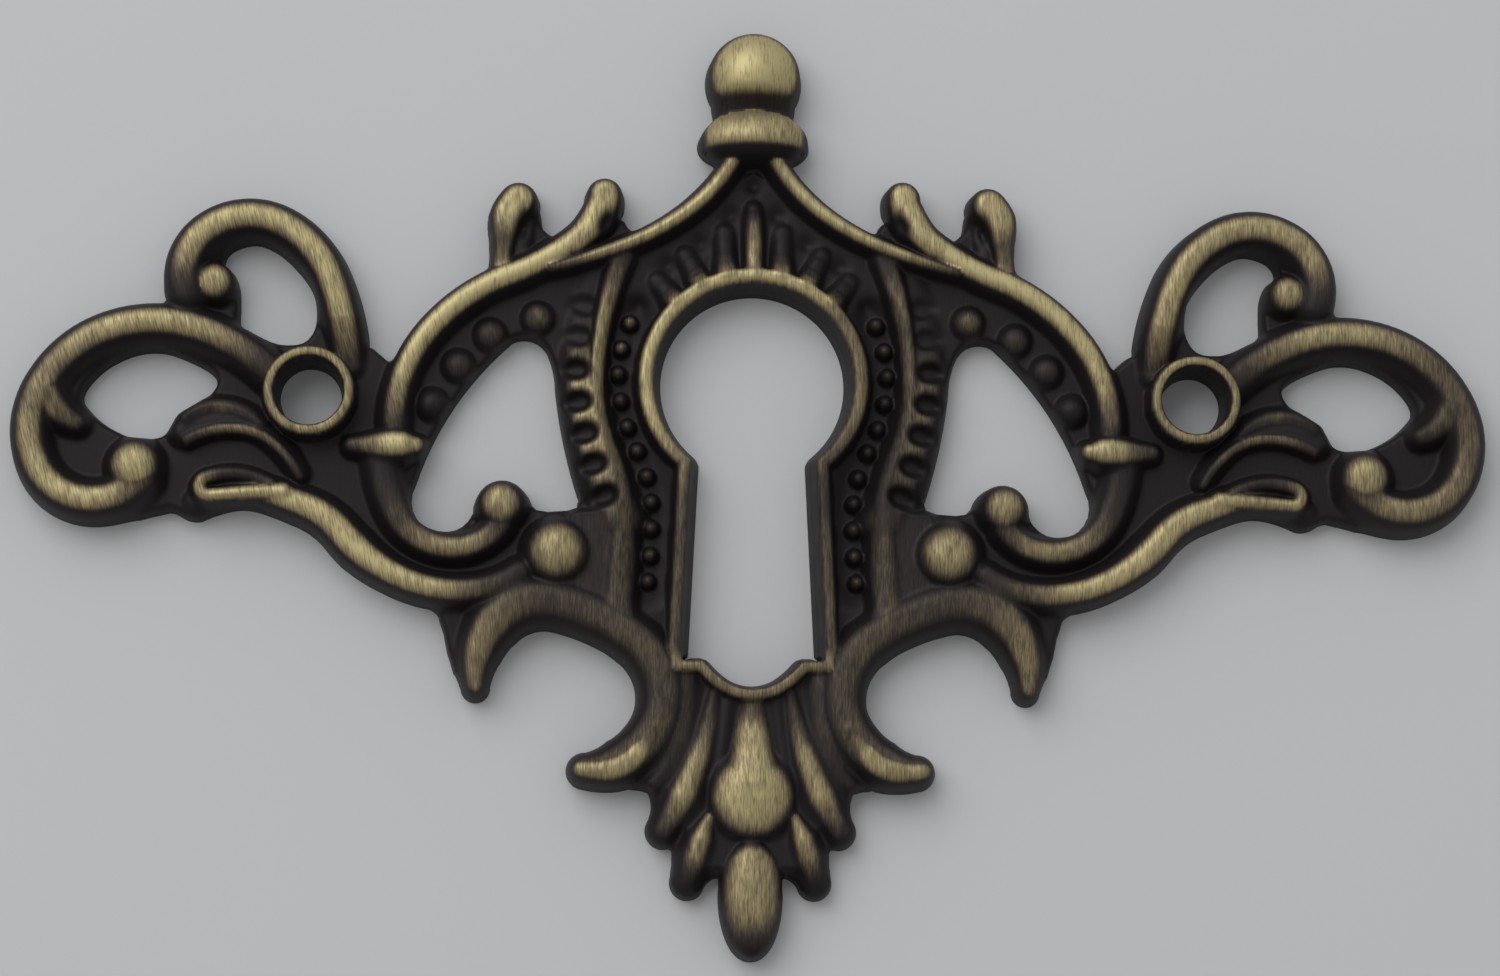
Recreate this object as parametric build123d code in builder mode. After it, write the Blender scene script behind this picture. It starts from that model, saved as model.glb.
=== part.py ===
"""Keyhole escutcheon: one casting of scrolls and beads around a keyhole, held by a pin at each side."""
import os
from math import cos, radians, sin, tan

from build123d import *

# Fixing holes and the raised rings round them
hole_spacing = 45.0
hole_diameter = 3.2
ring_diameter = 4.8
ring_height = 3.0

# Heights above the flat back
ground_thickness = 1.2
rail_height = 2.5
loop_height = 2.6
ladder_height = 1.9
plateau_height = 2.0
inner_rail_height = 2.3
tongue_height = 2.2
leaf_height = 2.4
ray_height = 1.9
middle_ray_height = 2.2

# Widths of the ribs at their foot
loop_width = 2.3
rail_width = 1.8
inner_rail_width = 1.15
ladder_width = 2.3
tongue_width = 1.5
spur_width = 2.0
hook_width = 1.1
ray_width = 0.9

# Section of a rib: lean of the walls in degrees, then bevel drop and flat crest as shares of the half width
wall_draft = 8.0
bevel_share = 0.5
crest_share = 0.42

# Balls that end the scrolls: diameter and height
loop_ball_diameter = 2.9
loop_ball_height = 2.9
small_ball_diameter = 2.2
small_ball_height = 2.5
scroll_ball_diameter = 2.5
scroll_ball_height = 2.8
large_ball_diameter = 3.5
large_ball_height = 3.1

# Cross pin over the joint of the two C scrolls
pin_length = 4.1
pin_width = 1.5
pin_height = 2.9
pin_place = (18.75, -2.6)

# Keyhole: a round head over a slot that widens to an ogee foot, flared towards the front, with a raised rim
head_diameter = 9.4
head_y = 0.85
slot_top_width = 5.4
slot_foot_width = 6.4
slot_foot_y = -13.1
ogee_width = 4.5
ogee_depth = 1.4
keyhole_flare = 0.4
rim_width = 1.2
rim_height = 2.4

# Rays of the fan over the keyhole, from foot to tip
middle_ray = [(0, 6.2), (0, 10.2)]
side_rays = [[(1.4, 6.4), (1.45, 8.8)], [(2.8, 6.0), (3.5, 7.6)], [(4.1, 5.0), (4.9, 6.2)]]

# Beads: diameter and rise over the ground
heart_bead_diameter = 1.7
heart_bead_rise = 0.75
heart_bead_places = [(16.3, -0.4), (15.0, 1.6), (13.4, 3.2), (11.0, 4.1)]
small_bead_diameter = 0.8
small_bead_rise = 0.45
small_bead_count = 11

# Square pits along the ladder band, from the band's upper end
pit_size = 0.95
pit_depth = 0.6
pit_pitch = 1.7
pit_count = 5
first_pit_at = 5.45

# Facets of the round forms: turn of one straight stretch in degrees, the turn that counts as none,
# and the sides of rings and studs
facet_turn = 22.0
straight_within = 0.1
ring_sides = 18
ball_sides = 14
heart_bead_sides = 10
small_bead_sides = 6

# Section of a stud: upright wall and steep shoulder as shares, and the lean of shoulder and top in degrees
ball_dome_share = 0.45
bead_wall_share = 0.3
shoulder_share = 0.7
shoulder_lean = 26.0
top_lean = 58.0

# Turned finial at the top: half profile as radius and Y, from end to end
finial_axis_z = 0.8
finial_profile = [(0, 19.3), (1.25, 18.96), (2.17, 18.05), (2.5, 16.8), (2.37, 15.9), (2.12, 15.2),
                  (2.12, 14.85), (2.55, 14.45), (2.85, 13.95), (2.9, 13.35), (2.7, 12.55), (2.3, 12.0),
                  (0, 12.0)]

# Pear-shaped drop and tongue on the middle line of the tail: ends, half widths at even steps between them
# and height
drop_points = [(0, -15.6), (0, -21.95)]
drop_half_widths = [0.5, 0.6, 0.7, 0.85, 1.1, 1.75, 2.1, 1.9, 0.6]
drop_height = 2.6
tail_points = [(0, -22.3), (0, -28.6)]
tail_half_widths = [0.9, 1.35, 1.6, 1.65, 1.6, 1.45, 1.27, 1.0, 0.4]
tail_height = 2.4
tail_heading = -90

# Crest lines: the points where one arc runs into the next, and the heading of the first arc in degrees.
# The side lobe's points are measured from the centre of its ring.
small_loop_points = [(-1.9, 1.6), (-0.85, 6.2), (1.6, 8.75), (5.3, 8.4), (6.3, 5.0)]
small_loop_heading = 88
small_ball_place = (4.9, 5.7)
big_loop_points = [(2.0, 1.1), (5.8, 3.3), (10.5, 3.05), (13.8, -0.5), (13.6, -3.8), (9.2, -5.1),
                   (8.3, -4.4)]
big_loop_heading = 43
loop_ball_place = (8.65, -3.8)
spur_points = [(13.3, -0.1), (11.5, -1.65)]
spur_heading = -115
lobe_rail_points = [(-1.7, -6.9), (1.7, -5.1), (6.0, -5.5)]
rail_hook_points = [(2.0, -4.8), (3.7, -4.15), (5.1, -4.3), (5.75, -5.1)]
rail_hook_heading = 30
upper_tongue_points = [(6.2, -1.75), (4.0, -0.85), (2.2, -1.6)]
upper_tongue_heading = 135
lower_tongue_points = [(6.5, -2.6), (3.6, -1.95), (0.4, -4.3)]
lower_tongue_heading = 150

# All other crest lines are measured from the middle of the plate.
crown_rail_points = [(1.0, 12.5), (3.7, 9.5), (6.5, 7.9), (10.4, 6.4)]
crown_rail_heading = -61
outer_rail_points = [(8.2, 8.9), (12.5, 6.2), (16.5, 3.3), (18.2, -1.4)]
outer_rail_heading = -43
scroll_points = [(18.8, -3.4), (18.0, -6.1), (15.4, -7.8), (12.8, -6.6)]
scroll_heading = -95
scroll_ball_place = (12.75, -5.55)
large_ball_place = (9.9, -7.95)
base_rail_points = [(11.8, -9.0), (14.8, -10.0), (17.9, -9.3)]
base_rail_heading = -37
inner_rail_points = [(6.7, 7.3), (7.95, 1.2), (7.2, -2.9), (6.4, -6.0), (6.4, -10.3)]
inner_rail_heading = -69
ladder_points = [(7.9, 7.0), (8.85, 2.5), (8.7, -0.5), (6.7, -6.2)]
ladder_heading = -70
bead_row_points = [(6.3, 3.95), (6.8, 0.2), (5.9, -2.6), (5.15, -5.6), (5.3, -9.35)]
bead_row_heading = -66
crescent_points = [(14.0, -15.3), (13.3, -11.9), (9.8, -10.5), (6.0, -12.4), (4.65, -16.2), (9.0, -18.6)]
crescent_heading = 84
long_leaf_points = [(2.0, -15.8), (2.7, -18.9), (4.6, -22.3)]
long_leaf_heading = -84
short_leaf_points = [(1.9, -21.6), (3.35, -25.2)]
short_leaf_heading = -62
inner_bud_points = [(9.2, 7.9), (7.8, 9.8), (7.65, 11.4)]
inner_bud_heading = 138
outer_bud_points = [(12.6, 6.8), (12.4, 8.6), (12.1, 11.2)]
outer_bud_heading = 92

# Half widths of the ribs that swell and taper, at even steps along them, and how far their thin ends drop
base_rail_half_widths = [0.6] + [rail_width / 2] * 15 + [0.55]
crown_rail_half_widths = [rail_width / 2] * 8 + [0.55]
crescent_half_widths = [0.6, 1.2, 1.45, 1.45, 1.35, 1.3, 1.3, 1.35, 1.35, 1.35, 1.35, 1.2, 0.5]
long_leaf_half_widths = [0.5, 0.75, 0.95, 1.05, 0.5]
short_leaf_half_widths = [0.5, 0.9, 0.95, 0.45]
inner_bud_half_widths = [0.85, 0.95, 1.05, 1.05, 0.55]
outer_bud_half_widths = [0.75, 0.85, 1.0, 1.1, 0.55]
tip_drop = 0.4

# Ground fields between the ribs: corners that lie under the ribs or bound an opening. The plateau is higher
# ground, between the large ball, the inner rail and the crescent.
centre_field = [(0, 12.2), (1.7, 11.2), (3.7, 9.5), (6.5, 7.9), (10.4, 7.2), (13.4, 5.7), (16.5, 3.3),
                (18.1, 0.0), (18.8, -3.4), (18.0, -6.1), (16.7, -9.6), (15.9, -11.1), (15.6, -12.0),
                (15.4, -13.0), (15.0, -14.0), (14.2, -14.6), (13.6, -12.4), (12.6, -10.8), (9.4, -11.0),
                (5.6, -12.2), (4.6, -16.2), (6.6, -19.8), (5.2, -20.1), (4.4, -21.8), (3.2, -24.6),
                (1.6, -24.3), (0, -26.0)]
plateau = [(6.4, -5.6), (8.0, -6.0), (8.3, -8.0), (9.0, -9.4), (10.2, -9.9), (11.6, -9.5), (12.6, -9.4),
           (12.6, -10.6), (9.4, -11.0), (6.4, -11.2)]
bud_field = [(6.2, 8.1), (6.5, 9.3), (9.7, 8.9), (10.3, 8.6), (10.9, 9.0), (13.1, 8.5), (13.4, 5.9),
             (10.4, 6.6)]
lobe_field_inner = [(16.7, -9.7), (15.4, -7.8), (17.8, -6.1), (18.0, 1.5)]
lobe_field_outer = [(-3.2, 2.6), (-1.7, 2.4), (2.1, 1.6), (5.8, 3.2), (10.4, 3.0), (13.5, 0.0),
                    (13.9, -2.6), (12.8, -4.9), (10.5, -6.2), (8.5, -6.3), (7.0, -5.95), (5.5, -6.2),
                    (2.2, -5.0), (-0.7, -5.9), (-1.7, -7.0)]
loop_field = [(-1.8, 2.0), (-1.3, 5.0), (-0.1, 7.2), (1.5, 8.6), (3.9, 8.8), (5.7, 7.8), (6.4, 6.2),
              (7.1, 5.0), (7.2, 3.6), (2.1, 1.2)]

# Openings in the two loops of a lobe, measured from its ring
long_opening = [(11.5, -0.1), (11.1, 0.7), (10.1, 1.6), (8.7, 2.2), (7.4, 2.25), (6.1, 1.8), (5.1, 1.25),
                (4.8, 0.75), (5.1, 0.15), (5.9, -0.5), (6.8, -1.1), (7.3, -1.9), (7.9, -2.15), (9.0, -2.1),
                (10.3, -1.5), (11.2, -0.7)]
short_opening = [(2.9, 7.95), (1.7, 7.45), (0.6, 6.4), (-0.05, 5.35), (-0.2, 4.3), (-0.05, 3.5), (0.4, 2.9),
                 (1.2, 2.75), (2.0, 2.9), (2.9, 3.3), (3.6, 3.75), (3.65, 4.6), (3.7, 5.6), (4.0, 6.4),
                 (4.5, 6.9), (4.1, 7.6)]

# Heart-shaped opening: ends and middles of its five arcs, in turn, then the corners of its foot
heart_arcs = [(8.8, -5.1), (9.6, -2.2), (10.15, 1.0), (10.6, 3.0), (12.3, 3.0), (14.6, 0.5), (17.1, -4.4),
              (15.5, -6.8), (14.2, -5.8), (12.6, -4.2), (11.2, -5.35)]
heart_foot = [(10.8, -5.65), (9.1, -5.6)]

ring_x = hole_spacing / 2


def from_ring(points):
    """The side lobe's points carried out to where the ring stands."""
    return [(ring_x + x, y) for x, y in points]


def crest_line(points, heading):
    """Arcs from point to point, each tangent to the one before; the first leaves at heading degrees.
    Where the next point lies straight ahead, the stretch is a line."""
    with BuildLine() as crest:
        tangent = Vector(cos(radians(heading)), sin(radians(heading)))
        for start, end in zip(points, points[1:]):
            straight_on = (Vector(*end) - Vector(*start)).get_angle(tangent) < straight_within
            arc = Line(start, end) if straight_on else TangentArc(start, end, tangent=tangent)
            tangent = arc % 1
    return crest


def stations(crest):
    """Points along a crest line, so close that each stretch turns by about facet_turn degrees at most."""
    spots = [crest.edges()[0] @ 0]
    for arc in crest.edges():
        steps = max(1, round((arc % 0).get_angle(arc % 1) / facet_turn))
        spots += [arc @ (step / steps) for step in range(1, steps + 1)]
    return spots


def rib_section(spot, along, half_width, height):
    """A rib's section across its crest line: leaning walls, bevelled shoulders and a narrow flat crest."""
    across = Plane(origin=spot, x_dir=(-along.Y, along.X, 0), z_dir=along)
    shoulder_z = height - bevel_share * half_width
    shoulder = half_width - shoulder_z * tan(radians(wall_draft))
    crest = crest_share * half_width
    with BuildSketch(across) as section:
        with BuildLine():
            Polyline((-half_width, 0), (-shoulder, shoulder_z), (-crest, height),
                     (crest, height), (shoulder, shoulder_z), (half_width, 0), close=True)
        make_face()
    return section.sketch


def rib(points, heading, width, height):
    """A rib of one width, in short straight stretches along its crest line."""
    spots = stations(crest_line(points, heading))
    section = rib_section(spots[0], (spots[1] - spots[0]).normalized(), width / 2, height)
    with BuildLine() as path:
        Polyline(*spots)
    with BuildPart() as made:
        sweep(section, path=path.wire(), transition=Transition.RIGHT)
    return made.part


def swelling_rib(points, heading, half_widths, height):
    """A rib whose half width goes through the given values at even steps along its crest line."""
    line = crest_line(points, heading).wire()
    last = len(half_widths) - 1
    widest = max(half_widths)
    sections = []
    for step, half_width in enumerate(half_widths):
        tall = height * (1 - tip_drop * (1 - half_width / widest))
        sections.append(rib_section(line @ (step / last), line % (step / last), half_width, tall))
    with BuildPart() as made:
        loft(sections, ruled=True)
    return made.part


def straight_rib(start, end, width, height):
    """A short straight rib."""
    spot = Vector(*start)
    along = Vector(*end) - spot
    with BuildPart() as made:
        extrude(rib_section(spot, along.normalized(), width / 2, height), amount=along.length)
    return made.part


def stud(place, diameter, wall_top, height, sides):
    """A round stud in flat facets: an upright wall, a steep shoulder and a shallow top."""
    shoulder = (height - wall_top) * shoulder_share
    with BuildPart() as made:
        with BuildSketch(Plane((*place, 0))):
            RegularPolygon(diameter / 2, sides)
        extrude(amount=wall_top)
        extrude(made.faces().sort_by(Axis.Z)[-1], amount=shoulder, taper=shoulder_lean)
        extrude(made.faces().sort_by(Axis.Z)[-1], amount=height - wall_top - shoulder, taper=top_lean)
    return made.part


def ball(place, diameter, height):
    """A ball that ends a scroll, standing on the back."""
    return stud(place, diameter, height - diameter * ball_dome_share, height, ball_sides)


def bead(place, diameter, rise, sides):
    """A bead on the ground."""
    return stud(place, diameter, ground_thickness + rise * bead_wall_share, ground_thickness + rise, sides)


def turned(profile, axis_z):
    """A turned form lying along Y: its half profile spun about the axis and cut off flat at the back."""
    with BuildPart() as made:
        with BuildSketch(Plane.XY.offset(axis_z)):
            with BuildLine():
                Polyline(*profile, close=True)
            make_face()
        revolve(axis=Axis((0, 0, axis_z), (0, 1, 0)))
        split(bisect_by=Plane.XY, keep=Keep.TOP)
    return made.part


def keyhole(height, grow):
    """The keyhole's outline at a height, grown outwards all round."""
    radius = head_diameter / 2 + grow
    top_half = slot_top_width / 2 + grow
    foot_half = slot_foot_width / 2 + grow
    ogee_half = ogee_width / 2 + grow
    foot_y = slot_foot_y - grow
    throat_y = head_y - (radius**2 - top_half**2) ** 0.5
    with BuildSketch(Plane.XY.offset(height)) as hole:
        with BuildLine():
            ThreePointArc((top_half, throat_y), (0, head_y + radius), (-top_half, throat_y))
            Polyline((-top_half, throat_y), (-foot_half, foot_y), (-ogee_half, foot_y))
            ThreePointArc((-ogee_half, foot_y), (0, foot_y - ogee_depth), (ogee_half, foot_y))
            Polyline((ogee_half, foot_y), (foot_half, foot_y), (top_half, throat_y))
        make_face()
    return hole.sketch


# The ground in plan: fields of the right half with the heart and the loops cut out, mirrored to the left
fields = [centre_field, bud_field, from_ring(lobe_field_outer) + lobe_field_inner, from_ring(loop_field)]
with BuildSketch() as ground_plan:
    for corners in fields:
        with BuildLine():
            Polyline(*corners, close=True)
        make_face()
    with BuildLine():
        for start, middle, end in zip(heart_arcs[0::2], heart_arcs[1::2], heart_arcs[2::2]):
            ThreePointArc(start, middle, end)
        Polyline(heart_arcs[-1], *heart_foot, heart_arcs[0])
    make_face(mode=Mode.SUBTRACT)
    for corners in (from_ring(long_opening), from_ring(short_opening)):
        with BuildLine():
            Polyline(*corners, close=True)
        make_face(mode=Mode.SUBTRACT)
    mirror(about=Plane.YZ)

# Relief of the right half: ribs, balls, bars and beads, all standing on the back
long_rail_points = base_rail_points + from_ring(lobe_rail_points)
side_relief = [
    rib(from_ring(small_loop_points), small_loop_heading, loop_width, loop_height),
    rib(from_ring(big_loop_points), big_loop_heading, loop_width, loop_height),
    rib(from_ring(spur_points), spur_heading, spur_width, tongue_height),
    rib(from_ring(rail_hook_points), rail_hook_heading, hook_width, tongue_height),
    rib(from_ring(upper_tongue_points), upper_tongue_heading, tongue_width, tongue_height),
    rib(from_ring(lower_tongue_points), lower_tongue_heading, tongue_width, tongue_height),
    swelling_rib(long_rail_points, base_rail_heading, base_rail_half_widths, rail_height),
    swelling_rib(crown_rail_points, crown_rail_heading, crown_rail_half_widths, rail_height),
    rib(outer_rail_points, outer_rail_heading, rail_width, rail_height),
    rib(scroll_points, scroll_heading, rail_width, rail_height),
    rib(inner_rail_points, inner_rail_heading, inner_rail_width, inner_rail_height),
    rib(ladder_points, ladder_heading, ladder_width, ladder_height),
    swelling_rib(crescent_points, crescent_heading, crescent_half_widths, rail_height),
    swelling_rib(long_leaf_points, long_leaf_heading, long_leaf_half_widths, tongue_height),
    swelling_rib(short_leaf_points, short_leaf_heading, short_leaf_half_widths, tongue_height),
    swelling_rib(inner_bud_points, inner_bud_heading, inner_bud_half_widths, leaf_height),
    swelling_rib(outer_bud_points, outer_bud_heading, outer_bud_half_widths, leaf_height),
    ball(from_ring([small_ball_place])[0], small_ball_diameter, small_ball_height),
    ball(from_ring([loop_ball_place])[0], loop_ball_diameter, loop_ball_height),
    ball(scroll_ball_place, scroll_ball_diameter, scroll_ball_height),
    ball(large_ball_place, large_ball_diameter, large_ball_height),
]
pin_x, pin_y = pin_place
pin_ends = [(pin_x - pin_length / 2, pin_y), (pin_x + pin_length / 2, pin_y)]
side_relief.append(straight_rib(*pin_ends, pin_width, pin_height))
side_relief += [straight_rib(foot, tip, ray_width, ray_height) for foot, tip in side_rays]
for place in heart_bead_places:
    side_relief.append(bead(place, heart_bead_diameter, heart_bead_rise, heart_bead_sides))
bead_row = crest_line(bead_row_points, bead_row_heading).wire()
for step in range(small_bead_count):
    spot = bead_row @ (step / (small_bead_count - 1))
    side_relief.append(bead((spot.X, spot.Y), small_bead_diameter, small_bead_rise, small_bead_sides))

with BuildPart() as plateau_block:
    with BuildSketch():
        with BuildLine():
            Polyline(*plateau, close=True)
        make_face()
    extrude(amount=plateau_height)

with BuildPart() as ring:
    with BuildSketch(Plane((ring_x, 0, 0))):
        RegularPolygon(ring_diameter / 2, ring_sides)
    extrude(amount=ring_height)

# Square pits let into the ladder band, each turned to lie along it
ladder_line = crest_line(ladder_points, ladder_heading).wire()
with BuildPart() as pits:
    for step in range(pit_count):
        at = (first_pit_at + step * pit_pitch) / ladder_line.length
        on_band = Plane(ladder_line @ at, x_dir=ladder_line % at, z_dir=(0, 0, 1))
        with BuildSketch(on_band.offset(ladder_height)):
            Rectangle(pit_size, pit_size)
        extrude(amount=-pit_depth)

# The casting: ground and relief, mirrored, with the middle pieces, the keyhole and the fixing holes
with BuildPart() as escutcheon:
    with BuildSketch():
        add(ground_plan.sketch)
    extrude(amount=ground_thickness)
    add(side_relief + [plateau_block.part, ring.part])
    add(pits.part, mode=Mode.SUBTRACT)
    mirror(about=Plane.YZ)
    add(straight_rib(*middle_ray, ray_width, middle_ray_height))
    loft([keyhole(0, rim_width), keyhole(rim_height, rim_width)], ruled=True)
    add(turned(finial_profile, finial_axis_z))
    add(swelling_rib(drop_points, tail_heading, drop_half_widths, drop_height))
    add(swelling_rib(tail_points, tail_heading, tail_half_widths, tail_height))
    loft([keyhole(0, 0), keyhole(rim_height, keyhole_flare)], ruled=True, mode=Mode.SUBTRACT)
    with Locations((ring_x, 0), (-ring_x, 0)):
        Hole(hole_diameter / 2)

escutcheon.part.label = "escutcheon"
os.makedirs("parts", exist_ok=True)
export_step(escutcheon.part, "parts/escutcheon.step")
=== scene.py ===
"""Keyhole escutcheon in relieved antique brass, lying flat on a pale floor. Plan sizes are in millimetres."""

import bmesh
import bpy
import numpy as np
from mathutils import Matrix, Vector


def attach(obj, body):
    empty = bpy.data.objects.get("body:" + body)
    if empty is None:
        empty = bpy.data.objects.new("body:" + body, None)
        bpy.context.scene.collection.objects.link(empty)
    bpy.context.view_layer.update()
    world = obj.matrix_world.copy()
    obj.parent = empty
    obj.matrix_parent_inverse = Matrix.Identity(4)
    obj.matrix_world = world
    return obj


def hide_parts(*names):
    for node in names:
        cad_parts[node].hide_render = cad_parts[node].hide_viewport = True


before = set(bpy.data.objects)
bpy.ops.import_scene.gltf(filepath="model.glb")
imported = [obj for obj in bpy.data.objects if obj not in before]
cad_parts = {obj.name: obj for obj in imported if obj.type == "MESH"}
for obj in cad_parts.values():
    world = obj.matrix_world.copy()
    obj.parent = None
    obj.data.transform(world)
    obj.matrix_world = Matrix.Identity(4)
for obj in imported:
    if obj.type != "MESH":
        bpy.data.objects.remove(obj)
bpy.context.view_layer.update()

# The ground: the flat web between the ribs, with a heart and two loops left open in each side. The plate is
# one zinc die casting, the same on both sides of its middle, so its right half is worked out as three plans:
# a height above the flat back, a distance inside the outline and a share rubbed bright.
PITCH = 0.118
GROUND_HEIGHT = 1.2
WALL_LEAN = 0.14
OUTLINE_BLEND = 0.5
ARC_STEPS = 12
FAR = 9.0
half_x = np.arange(0.0, 38.0, PITCH)
plan_y = np.arange(-29.2, 19.8, PITCH)
X, Y = np.meshgrid(half_x, plan_y)
inside = np.full(X.shape, -FAR)
relief = np.full(X.shape, GROUND_HEIGHT)
rubbed = np.zeros(X.shape)
centre_field = [(-3, 12.2), (0, 12.2), (1.7, 11.2), (3.7, 9.5), (6.5, 7.9), (10.4, 7.2), (13.4, 5.7),
                (16.5, 3.3), (18.1, 0), (18.8, -3.4), (18, -6.1), (16.7, -9.6), (15.9, -11.1), (15.6, -12),
                (15.4, -13), (15, -14), (14.2, -14.6), (13.6, -12.4), (12.6, -10.8), (9.4, -11),
                (5.6, -12.2), (4.6, -16.2), (6.4, -19.2), (6, -19.75), (5.2, -20), (4.5, -21.8),
                (3.2, -24.6), (1.6, -24.3), (0, -26), (-3, -26)]
bud_field = [(6, 8.2), (6.2, 8.75), (6.55, 9.4), (9, 9.3), (9.7, 8.85), (10.25, 8.5), (10.8, 9), (11.1, 9.7),
             (13, 9.5), (13.15, 8.5), (13.4, 5.9), (10.4, 6.6)]
lobe_field = [(19.3, 2.6), (20.8, 2.4), (24.6, 1.6), (28.3, 3.2), (32.9, 3), (36, 0), (36.4, -2.6),
              (35.3, -4.9), (33, -6.2), (31, -6.3), (29.5, -5.95), (28, -6.2), (24.7, -5), (21.8, -5.9),
              (20.8, -7), (16.7, -9.7), (15.4, -7.8), (17.8, -6.1), (18, 1.5)]
loop_field = [(20.7, 2), (21.2, 5), (22.4, 7.2), (24, 8.6), (26.4, 8.8), (28.2, 7.8), (28.9, 6.2), (29.6, 5),
              (29.7, 3.6), (24.6, 1.2)]
heart_arcs = [(8.85, -5.1), (9.62, -2.3), (10.1, 0.6), (10.2, 1.5), (10.45, 2.3), (11.15, 3.05), (12.3, 3),
              (14.6, 0.5), (17.1, -4.4), (15.5, -6.8), (14.2, -5.8), (12.6, -4.2), (11.2, -5.35)]
heart_foot = [(10.95, -5.6), (10.4, -5.68), (9.4, -5.62), (8.95, -5.45)]
long_loop = [(34, -0.1), (33.6, 0.7), (32.6, 1.6), (31.2, 2.2), (29.9, 2.25), (28.6, 1.8), (27.6, 1.25),
             (27.3, 0.75), (27.6, 0.15), (28.4, -0.5), (29.3, -1.1), (29.8, -1.9), (30.4, -2.15),
             (31.5, -2.1), (32.8, -1.5), (33.7, -0.7)]
short_loop = [(25.4, 7.95), (24.2, 7.45), (23.1, 6.4), (22.45, 5.35), (22.3, 4.3), (22.45, 3.5), (22.9, 2.9),
              (23.7, 2.75), (24.5, 2.9), (25.4, 3.3), (26.1, 3.75), (26.15, 4.6), (26.2, 5.6), (26.5, 6.4),
              (27, 6.9), (26.6, 7.6)]


def smooth_max(first, second, blend):
    """The larger of two values, eased: a parabola is added where they differ by less than the blend."""
    near = np.maximum(blend - np.abs(first - second), 0) / blend
    return np.maximum(first, second) + near * near * blend / 4


def within(corners):
    """Signed distance into a closed outline: to its nearest edge, positive where a ray crosses it oddly."""
    nearest = np.full(X.shape, np.inf)
    odd = np.zeros(X.shape, bool)
    for (ax, ay), (bx, by) in zip(corners, corners[1:] + corners[:1]):
        run_x, run_y = bx - ax, by - ay
        share = np.clip(((X - ax) * run_x + (Y - ay) * run_y) / (run_x**2 + run_y**2), 0, 1)
        nearest = np.minimum(nearest, (X - ax - share * run_x) ** 2 + (Y - ay - share * run_y) ** 2)
        crossed = (ay > Y) != (by > Y)
        odd ^= crossed & (X < ax + (Y - ay) * run_x / (run_y if run_y else 1.0))
    return np.where(odd, 1, -1) * np.sqrt(nearest)


def rounded(points, steps=5):
    """A smooth closed line: a cubic between points, its slope at each half the step from last to next."""
    here = np.array(points)
    before, after, beyond = np.roll(here, 1, 0), np.roll(here, -1, 0), np.roll(here, -2, 0)
    t = (np.arange(steps) / steps)[:, None, None]
    bend = ((2 * before - 5 * here + 4 * after - beyond) * t**2
            + (3 * here - before - 3 * after + beyond) * t**3)
    line = here + ((after - before) * t + bend) / 2
    return [tuple(spot) for spot in line.transpose(1, 0, 2).reshape(-1, 2)]


def arc_through(start, middle, end):
    """Points on the circle through three points: its centre is where the two chords' bisectors cross."""
    a, b, c = (complex(*p) for p in (start, middle, end))
    w = (c - a) / (b - a)
    centre = (b - a) * (w - abs(w) ** 2) / (2j * w.imag) + a
    turn = np.angle((c - centre) / (a - centre))
    way = np.angle((b - centre) / (a - centre))
    turn += 0 if turn * way > 0 else np.sign(way) * 2 * np.pi
    arc = centre + (a - centre) * np.exp(1j * turn * np.arange(ARC_STEPS) / ARC_STEPS)
    return list(zip(arc.real, arc.imag))


for corners in (centre_field, bud_field, lobe_field, loop_field):
    inside = smooth_max(inside, within(corners) - WALL_LEAN, OUTLINE_BLEND)
heart = sum((arc_through(*heart_arcs[k:k + 3]) for k in range(0, len(heart_arcs) - 2, 2)), [])
heart += heart_arcs[-1:]
openings_out = np.minimum(-within(heart + heart_foot), -within(rounded(long_loop)))
openings_out = np.minimum(openings_out, -within(rounded(short_loop)))

# The loops of the side lobes: ribs with a broad rounded crest, cast in one with the ground, that curl round
# to a ball. A spur grows inside the longer one. As on every rib here, the crest is rubbed bright.
RING_X = 22.5
CREST_STEP = 0.06
TINY = 1e-6
WINDOW_MARGIN = 2.2
RELIEF_BLEND = 0.42
LEAD_BAND = 0.08
RUB_DROP = 0.14
RUB_START, RUB_END = 0.1, 3.4
LOOP_DEPTH = 0.9
LOOP_HALF = [1.15]


def from_ring(points):
    """Points of the side lobe, measured from its ring, carried out to the ring's place."""
    return [(RING_X + x, y) for x, y in points]


def eased(value, low, high):
    """Goes from 0 at the low end to 1 at the high end as three squares less two cubes."""
    share = np.clip((value - low) / (high - low), 0, 1)
    return share * share * (3 - 2 * share)


def crest_line(points, heading):
    """A chain of arcs, each leaving in the last one's direction: an arc turns by twice the angle between its
    chord and the heading, and is as long as its chord times half that turn over the half turn's sine."""
    places, ways = [], []
    way = np.exp(1j * np.radians(heading))
    for start, end in zip(points, points[1:]):
        a, chord = complex(*start), complex(*end) - complex(*start)
        turn = 2 * np.angle(chord / way)
        length = abs(chord) * (turn / 2 / np.sin(turn / 2) if abs(turn) > TINY else 1.0)
        share = np.linspace(0, 1, max(2, int(length / CREST_STEP)), endpoint=False)
        swing = share * turn
        bent = (np.exp(1j * swing) - 1) / (1j * turn) if abs(turn) > TINY else share
        places.append(a + way * length * bent)
        ways.append(way * np.exp(1j * swing))
        way = way * np.exp(1j * turn)
    places = np.append(np.concatenate(places), complex(*points[-1]))
    ways = np.append(np.concatenate(ways), way)
    gone = np.append(0, np.cumsum(np.abs(np.diff(places))))
    return places, ways, gone / gone[-1]


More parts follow.
